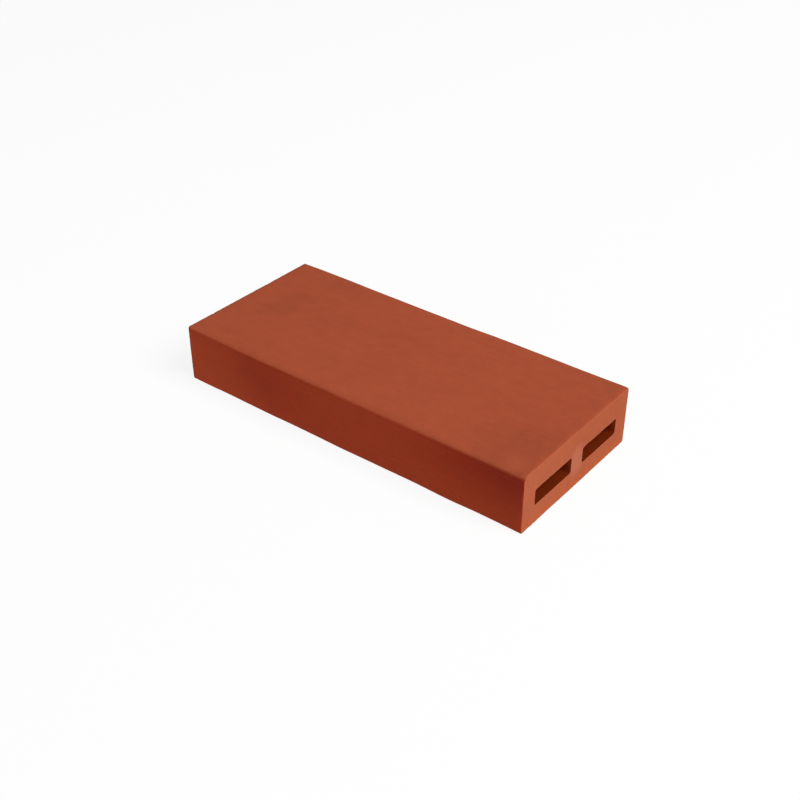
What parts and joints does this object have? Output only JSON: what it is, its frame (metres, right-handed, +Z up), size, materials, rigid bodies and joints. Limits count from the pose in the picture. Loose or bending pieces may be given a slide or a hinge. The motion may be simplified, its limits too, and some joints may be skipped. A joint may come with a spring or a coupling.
{
  "type": "hollow fired clay bar",
  "caption": "Flat rectangular bar of fired clay with rectangular cores running right through its length and one rounded long edge, laid flat as a building or paving unit.",
  "frame": {"origin": "centre of the lower bed face, which the bar lies on", "axes": "+X along the length and the cores, +Y across the width from the front face with the rounded top edge to the back face, +Z up through the thickness"},
  "size_m": [0.23, 0.1, 0.035],
  "materials": {
    "fired_clay": "matte"
  },
  "bodies": {
    "root": {"fired_clay_bar": "fired_clay"}
  },
  "joints": []
}
